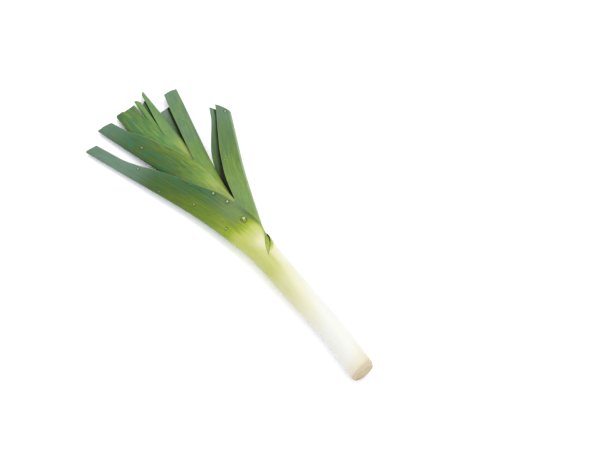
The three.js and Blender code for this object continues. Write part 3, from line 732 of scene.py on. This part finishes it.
# ---- water drops ----
# On each leaf: distance along it (mm), t across it, width (mm).
DROPS = {
    "leaf_1": [(45, 0.71, 8.0), (72, 0.89, 5.2), (89, 0.92, 5.2), (53, 0.33, 3.2), (140, 0.29, 2.6),
               (98, 0.47, 3.4), (175, 0.83, 3.4), (55, 0.85, 2.2), (115, 0.95, 1.8)],
    "leaf_2": [(121, 0.91, 2.4), (180, 0.62, 3.4)],
    "leaf_3": [(193, 0.62, 3.6)],
    "leaf_4": [(196, 0.70, 2.0)],
}
DROP_HEIGHT = 0.24  # a drop's height over its width
DROP_SINK = 0.12  # how far its underside lies in the leaf, mm
DROP_LONG, DROP_BROAD = 0.56, 0.5  # half its length and breadth over its width
DROP_RINGS = 9
DROP_COLUMNS = 28


def drop_points(leaf, station, t, width):
    """A lens-shaped drop on the outer surface of a leaf, and each point's place in it."""
    front = float(leaf.margin("front")(station))
    at = np.array([[station - 1, t], [station + 1, t], [station, t - 0.02], [station, t + 0.02],
                   [station, t]])
    near = leaf.point(at[:, 0], at[:, 1] * front)
    along, side = unit(near[1] - near[0]), unit(near[3] - near[2])
    up = unit(np.cross(along, side))
    up = up * (1 if up[2] > 0 else -1)
    side = np.cross(up, along)
    ring = np.linspace(0, 1, DROP_RINGS)[1:]
    turn = np.linspace(0, 2 * math.pi, DROP_COLUMNS, endpoint=False)
    reach = np.sin(ring * math.pi / 2)[:, None] * (1 + 0.06 * np.cos(2 * turn + station))
    tall = width * DROP_HEIGHT * np.cos(ring * math.pi / 2)[:, None] ** 0.8 + 0 * turn
    ahead, aside = np.cos(turn) * reach, np.sin(turn) * reach
    flat = DROP_LONG * ahead[..., None] * along + DROP_BROAD * aside[..., None] * side
    dome = near[4] + width * flat + (tall - DROP_SINK)[..., None] * up
    top = near[4] + (width * DROP_HEIGHT - DROP_SINK) * up
    bottom = near[4] - 1.5 * DROP_SINK * up
    lens = np.stack([ahead, aside, reach + 0 * turn], -1).reshape(-1, 3)
    points = np.concatenate([[top], dome.reshape(-1, 3), [bottom]])
    return points, np.pad(lens, ((1, 1), (0, 0)))


def drops_piece(material):
    """All the drops, as one piece."""
    points, faces, lens = [], [], []
    for leaf, station, t, width in [(leaf, *drop) for leaf in leaves
                                    for drop in DROPS.get(leaf.name, [])]:
        made, place_in = drop_points(leaf, float(station), t, width)
        start = sum(len(p) for p in points)
        lens.append(place_in)
        rings = DROP_RINGS - 1
        top, bottom = start, start + len(made) - 1
        low = start + 1 + (rings - 1) * DROP_COLUMNS
        for k in range(DROP_COLUMNS):
            n = (k + 1) % DROP_COLUMNS
            faces.append((top, start + 1 + k, start + 1 + n))
            faces.append((bottom, low + n, low + k))
        faces += [f[::-1] for f in grid_faces(rings, DROP_COLUMNS, start + 1, wrap=True)]
        points.append(made)
    piece = make_piece("water_drops", np.concatenate(points), faces, [material],
                       {"lens": np.concatenate(lens)})
    piece.visible_shadow = False  # the light that a drop bends still reaches the leaf
    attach(piece, "root")
    return piece


# ---- colours ----
LIGHT_LEVEL = 1.58  # how bright the light makes a white face that looks up
SHEEN = 0.019  # what the sky's reflection adds to every colour

# Colours as they look in this light, 0 to 255.
WHITE = (250, 248, 239)
ROOT_EDGE = (226, 211, 177)
ROOT_CREAM = (240, 231, 204)
CREAM = (243, 239, 205)
BUTTER = (219, 220, 145)
LIME = (198, 206, 100)
CHARTREUSE = (166, 184, 54)
MOSS = (134, 158, 50)
OLIVE = (102, 127, 46)
DEEP = (67, 102, 54)
FRESH = (124, 168, 90)
VEIN = (160, 190, 92)
TEAL = (62, 124, 92)
BLOOM = (120, 147, 127)
# Partly wax bloom, partly painted light: paler than the outside's bloom so that insides lying in shade
# look lit.
BLOOM_INSIDE_AND_LIGHT = (146, 176, 152)
# Painted highlight: the pale line along a keel, for the light on its ridge.
PAINTED_KEEL_HIGHLIGHT = (162, 184, 138)
BARK = (102, 104, 42)
# Painted shade, for the bottom of a leaf's fold.
PAINTED_FOLD_SHADE = (46, 52, 28)
RIM = (158, 182, 120)
PITH = (176, 200, 140)


def paint(colour):
    """The surface colour, linear, that looks like this in the scene's light."""
    share = np.array(colour) / 255
    linear = np.where(share <= 0.04045, share / 12.92, ((share + 0.055) / 1.055) ** 2.4)
    return (*np.clip((linear - SHEEN) / LIGHT_LEVEL, 0.002, 0.92).tolist(), 1.0)


TONE_RANGE = (-150, 150)
TONE_RAMP = [(-150, ROOT_EDGE), (-142, ROOT_CREAM), (-108, WHITE), (-75, WHITE), (-40, CREAM),
             (-5, BUTTER), (28, LIME), (48, CHARTREUSE), (68, MOSS), (105, OLIVE), (145, DEEP)]


class Graph:
    """A material's nodes.  Any input may be a plain value or another node's output."""

    def __init__(self, name, **settings):
        self.material = bpy.data.materials.new(name)
        self.material.use_nodes = True
        self.tree = self.material.node_tree
        self.tree.nodes.clear()
        self.shader = self.add("ShaderNodeBsdfPrincipled")
        for key, value in settings.items():
            self.shader.inputs[key.replace("_", " ")].default_value = value
        output = self.add("ShaderNodeOutputMaterial")
        self.tree.links.new(self.shader.outputs[0], output.inputs["Surface"])

    def add(self, kind, *given, **settings):
        """A node with its first inputs given."""
        node = self.tree.nodes.new(kind)
        for key, value in settings.items():
            setattr(node, key, value)
        for socket, value in zip(node.inputs, given):
            self.feed(socket, value)
        return node

    def feed(self, socket, value):
        if isinstance(value, bpy.types.NodeSocket):
            self.tree.links.new(value, socket)
        else:
            socket.default_value = value

    def math(self, operation, *given):
        return self.add("ShaderNodeMath", *given, operation=operation).outputs[0]

    def times(self, product, *factors):
        for factor in factors:
            product = self.math("MULTIPLY", product, factor)
        return product

    def off_middle(self, noise, scale):
        """A noise as an offset, half of scale at most either way."""
        return self.times(self.math("SUBTRACT", noise, 0.5), scale)

    def step(self, value, low, high, to_low=0.0, to_high=1.0):
        """A smooth step of the value from low to high."""
        return self.add("ShaderNodeMapRange", value, low, high, to_low, to_high,
                        interpolation_type="SMOOTHSTEP").outputs[0]

    def mix(self, amount, a, b):
        node = self.add("ShaderNodeMix", data_type="RGBA")
        self.feed(node.inputs["Factor"], amount)
        self.feed(node.inputs[6], a)
        self.feed(node.inputs[7], b)
        return node.outputs[2]

    def vector(self, x, y, z):
        return self.add("ShaderNodeCombineXYZ", x, y, z).outputs[0]

    def field(self, name):
        """The three parts of one of the piece's own fields."""
        vector = self.add("ShaderNodeAttribute", attribute_name=name).outputs["Vector"]
        split = self.add("ShaderNodeSeparateXYZ", vector)
        return tuple(split.outputs)

    def noise(self, vector, scale, detail):
        return self.add("ShaderNodeTexNoise", vector, 0.0, scale, detail).outputs["Fac"]

    def grain(self, a, b, per_a, per_b, seed, detail):
        """A noise over two measures that changes so often per unit of each."""
        return self.noise(self.vector(self.times(a, per_a), self.times(b, per_b), seed), 1, detail)

    def ramp(self, value, low, high, stops):
        """The value's place between low and high, looked up in (value, colour) stops."""
        node = self.add("ShaderNodeValToRGB")
        elements = node.color_ramp.elements
        while len(elements) < len(stops):
            elements.new(0.5)
        for element, (at, colour) in zip(elements, stops):
            element.position = (at - low) / (high - low)
            element.color = paint(colour)
        place_in = self.add("ShaderNodeMapRange", value, low, high, 0.0, 1.0).outputs[0]
        self.feed(node.inputs[0], place_in)
        return node.outputs["Color"]

    def finish(self, colour, roughness, height, depth):
        """Gives the shader its colour, its roughness and a bump of some depth, metres."""
        self.feed(self.shader.inputs["Base Color"], colour)
        self.feed(self.shader.inputs["Roughness"], roughness)
        node = self.add("ShaderNodeBump", 1.0, depth)
        self.feed(node.inputs["Height"], height)
        self.tree.links.new(node.outputs["Normal"], self.shader.inputs["Normal"])
        return self.material


# The skin's noises: how often each changes per mm along and across, its seed and detail.
GRAINS = dict(veins=(0.006, 0.95, 0, 2), fine=(0.03, 1.7, 7, 2), patches=(0.045, 0.16, 3, 4),
              mottle=(0.055, 0.42, 11, 4), blots=(0.08, 0.34, 23, 3), smears=(0.24, 0.8, 19, 2))
DRIFT, STREAK = 40, 44  # how much the patches and the mottle shift the tone
GREEN_TONES = (20, 75)  # tones over which the marks of a green leaf come in
KEEL_TONES, KEEL_STATIONS = (-10, 35), (70, 200)
SKIN_RELIEF = 0.00025


def leek_skin(name, seed, keel=(0.0, 1.3), striping=0.16, waxy=BLOOM):
    """The leek's skin, from white shank to green blade."""
    g = Graph(name, Subsurface_Weight=0.06, Subsurface_Scale=0.002, Specular_IOR_Level=0.22)
    along, across, tone = g.field("skin")
    bloom, fresh, edge = g.field("film")
    # teal and stain are the skin's own marks; deep is painted shade at the bottom of a fold.
    teal, stain, deep = g.field("tint_and_shade")
    green = g.step(tone, *GREEN_TONES)
    noise = {}
    for kind, (per_along, per_across, offset, detail) in GRAINS.items():
        noise[kind] = g.grain(along, across, per_along, per_across, seed + offset, detail)
    shift = g.math("ADD", g.off_middle(noise["patches"], DRIFT),
                   g.off_middle(noise["mottle"], STREAK))
    shift = g.times(shift, g.step(tone, -60, 60, 0.12, 1.0))
    colour = g.ramp(g.math("ADD", tone, shift), *TONE_RANGE, TONE_RAMP)

    def cover(amount, over):
        return g.mix(amount, colour, paint(over))

    def marks(kind, low, high, most, share, over):
        """The colour with another over it where a noise is high, up to most x share."""
        return cover(g.times(g.step(noise[kind], low, high), most, share), over)

    colour = cover(fresh, FRESH)
    colour = marks("veins", 0.5, 0.66, green, striping, VEIN)
    colour = marks("mottle", 0.45, 0.58, teal, 0.9, TEAL)
    colour = marks("blots", 0.52, 0.60, stain, 0.6, BARK)
    colour = marks("fine", 0.48, 0.66, green, 0.36, DEEP)
    wax = g.times(bloom, g.step(noise["patches"], 0.3, 0.6, 0.7, 1.0))
    colour = cover(wax, waxy)
    colour = marks("smears", 0.62, 0.70, green, 0.4, BARK)

    # Painted highlight along the keel's ridge.
    keel_highlight, width = keel
    if keel_highlight:
        near = g.step(g.math("ABSOLUTE", across), 0.6 * width, width, 1.0, 0.0)
        shown = g.times(g.step(tone, *KEEL_TONES), g.step(along, *KEEL_STATIONS, 1.0, 0.75))
        colour = cover(g.times(near, shown, keel_highlight), PAINTED_KEEL_HIGHLIGHT)
    colour = cover(g.times(g.step(edge, 0.1, 0.7, 0.5, 0.0), green), RIM)
    # Painted shade: the inside darkened towards the bottom of its fold.
    colour = cover(g.times(deep, 0.9), PAINTED_FOLD_SHADE)

    rough = g.math("ADD", g.times(wax, 0.16), g.step(noise["fine"], 0.3, 0.7, 0.36, 0.46))
    relief = g.math("ADD", g.times(noise["fine"], g.step(green, 0, 1, 0.35, 1.0)),
                    g.times(noise["veins"], 0.8))
    return g.finish(colour, rough, relief, SKIN_RELIEF)


def cut_flesh():
    """The cut ends of the leaves: pale wet flesh between two green skins."""
    g = Graph("cut_flesh", Subsurface_Weight=0.1, Subsurface_Scale=0.002)
    along, across, _ = g.field("skin")
    cells = g.noise(g.vector(along, g.times(across, 1.2), 2.0), 1, 3)
    colour = g.mix(g.step(cells, 0.3, 0.7), paint(PITH), paint(FRESH))
    return g.finish(colour, g.step(cells, 0.2, 0.8, 0.35, 0.6), cells, 0.0002)


ROOT_RIM = (230, 216, 186)
ROOT_LINE = (206, 187, 152)
ROOT_BEIGE = (223, 209, 169)
ROOT_PITH = (224, 211, 172)
ROOT_STAIN = (200, 150, 88)
# Colours of the cut face against the distance from its middle, mm.
ROOT_RAMP = [(0, ROOT_PITH), (3.5, ROOT_BEIGE), (8.6, ROOT_BEIGE), (9.7, ROOT_LINE),
             (10.6, ROOT_RIM), (12.8, ROOT_EDGE)]


def root_flesh():
    """The cut root plate: cream rim, a brown line inside it and beige corky flesh."""
    g = Graph("root_flesh", Subsurface_Weight=0.1, Subsurface_Scale=0.002)
    out, across, up = g.field("disc")
    grain = g.grain(across, up, 0.9, 0.9, 1.0, 4)
    blotch = g.grain(across, up, 0.22, 0.22, 5.0, 2)
    colour = g.ramp(g.math("ADD", out, g.off_middle(grain, 1.6)), 0, 13, ROOT_RAMP)
    corner = g.math("SUBTRACT", up, g.times(across, 0.6))
    low = g.times(g.step(corner, -6, -12), g.step(blotch, 0.35, 0.6, 0.5, 0.9))
    colour = g.mix(low, colour, paint(ROOT_STAIN))
    colour = g.mix(g.step(grain, 0.55, 0.75, 0.0, 0.35), colour, paint(ROOT_LINE))
    return g.finish(colour, g.step(grain, 0.2, 0.8, 0.6, 0.85), grain, 0.0006)


CLEAR = (1.0, 1.0, 0.9, 1)
# Painted shade and painted highlight of a drop: its dark ring and its bright centre.
PAINTED_DROP_RING_SHADE = (0.52, 0.60, 0.26, 1)
PAINTED_DROP_GLINT = (200, 216, 158)


def water():
    """A drop of water with painted light: a dark ring of painted shade round a bright centre of painted
    highlight, pale and opaque, that stands in for the light a drop gathers.
    """
    g = Graph("water", IOR=1.33, Roughness=0.12, Specular_IOR_Level=0.3)
    _, _, out = g.field("lens")
    # Painted shade round the rim, and a painted glint in the middle that is opaque and pale.
    ring = g.times(g.step(out, 0.45, 0.8), g.step(out, 0.9, 1.02, 1.0, 0.5))
    glint = g.step(out, 0.12, 0.42, 1.0, 0.0)
    colour = g.mix(glint, g.mix(ring, CLEAR, PAINTED_DROP_RING_SHADE), paint(PAINTED_DROP_GLINT))
    g.feed(g.shader.inputs["Base Color"], colour)
    g.feed(g.shader.inputs["Transmission Weight"], g.step(glint, 0, 1, 1.0, 0.0))
    return g.material


def build_leek():
    shank_piece(leek_skin("shank_skin_look", 1.0))
    root_piece(root_flesh())
    flesh = cut_flesh()
    inner = leek_skin("inner_look", 5.0, striping=0.05, waxy=BLOOM_INSIDE_AND_LIGHT)
    for leaf in leaves:
        skin = leek_skin(leaf.name + "_look", 13.0 * leaf.order + 1, leaf.keel, leaf.striping)
        leaf_piece(leaf, [skin, flesh, inner])
    drops_piece(water())


# ---- the studio ----
# The picture is taken as 600 x 450, from 63 degrees above the table, with an 85 mm lens.
IMAGE = (600, 450)
ELEVATION = math.radians(63)
LENS = 85.0
SENSOR = 36.0
DISTANCE = 1500.0  # from the lens to the middle of the picture, mm
NECK_HEADING = math.radians(-35.9)  # of the leek's X axis, from straight away, rightwards
ROOT_PIXEL = (363, 371)  # where the middle of the root end lies in the picture
ROOT_HEIGHT = 14.0  # and its height over the table, mm


def camera_axes():
    """The camera's place, right, up and view directions in the leek's axes."""
    focal = LENS / SENSOR * IMAGE[0]
    up = np.array([0, math.sin(ELEVATION), math.cos(ELEVATION)])
    view = np.array([0, math.cos(ELEVATION), -math.sin(ELEVATION)])
    right = np.array([1.0, 0, 0])
    eye = -DISTANCE * view
    ray = (view + (ROOT_PIXEL[0] - IMAGE[0] / 2) / focal * right
           - (ROOT_PIXEL[1] - IMAGE[1] / 2) / focal * up)
    root = eye + ray * (ROOT_HEIGHT - eye[2]) / ray[2]
    root[2] = 0
    x_axis = np.array([math.sin(NECK_HEADING), math.cos(NECK_HEADING), 0])
    y_axis = np.array([-math.cos(NECK_HEADING), math.sin(NECK_HEADING), 0])
    to_leek = np.array([x_axis, y_axis, [0, 0, 1]])
    return to_leek @ (eye - root), to_leek @ right, to_leek @ up, to_leek @ view


def add_camera():
    eye, right, up, view = camera_axes()
    data = bpy.data.cameras.new("photo_camera")
    data.lens = LENS
    data.sensor_width = SENSOR
    data.clip_start = 0.05
    data.clip_end = 50
    camera = add_object("photo_camera", data)
    turn = Matrix([list(right), list(up), list(-view)]).transposed()
    camera.matrix_world = Matrix.Translation(Vector(place(eye))) @ turn.to_4x4()
    bpy.context.scene.camera = camera


# Lights: direction they come from in picture terms (right, away, up), distance and size in
# metres, power in watts and colour.
LIGHTS = [
    ("key_softbox", (0.5, 0.6, 1.6), 1.9, 1.2, 11, (1.0, 0.985, 0.96)),
    ("fill_softbox", (-0.9, -0.7, 1.3), 2.2, 1.8, 3, (0.95, 0.97, 1.0)),
]
SKY = (0.94, 0.965, 1.0)
SKY_STRENGTH = 1.36
FLOOR_SIZE = 6.0
FLOOR_COLOURS = (0.935, 0.92, 0.94, 1), (0.95, 0.935, 0.955, 1)
FLOOR_GAP = 0.00005  # keeps the floor clear of the flat strip that rests on it


def add_lights():
    _, right, up, view = camera_axes()
    away = unit(np.array([view[0], view[1], 0]))
    for name, (to_right, to_away, to_up), distance, size, power, colour in LIGHTS:
        source = unit(right * to_right + away * to_away + np.array([0, 0, to_up]))
        data = bpy.data.lights.new(name, "AREA")
        data.shape = "DISK"
        data.size = size
        data.energy = power
        data.color = colour
        light = add_object(name, data)
        light.location = Vector((source * distance).tolist())
        light.rotation_euler = Vector((-source).tolist()).to_track_quat("-Z", "Y").to_euler()
    world = bpy.data.worlds.new("studio")
    world.use_nodes = True
    background = world.node_tree.nodes["Background"]
    background.inputs["Color"].default_value = (*SKY, 1)
    background.inputs["Strength"].default_value = SKY_STRENGTH
    bpy.context.scene.world = world


def add_floor():
    g = Graph("studio_floor", Specular_IOR_Level=0.1)
    grain = g.noise(g.add("ShaderNodeTexCoord").outputs["Object"], 6, 2)
    g.feed(g.shader.inputs["Base Color"], g.mix(grain, *FLOOR_COLOURS))
    g.feed(g.shader.inputs["Roughness"], g.step(grain, 0, 1, 0.7, 0.8))
    half = FLOOR_SIZE / 2
    mesh = bpy.data.meshes.new("studio_floor")
    corners = [(-half, -half), (half, -half), (half, half), (-half, half)]
    mesh.from_pydata([(x, y, -FLOOR_GAP) for x, y in corners], [], [(0, 1, 2, 3)])
    mesh.materials.append(g.material)
    floor = add_object("studio_floor", mesh)


build_leek()
add_camera()
add_lights()
add_floor()
bpy.context.scene.view_settings.view_transform = "Standard"

bpy.context.view_layer.update()
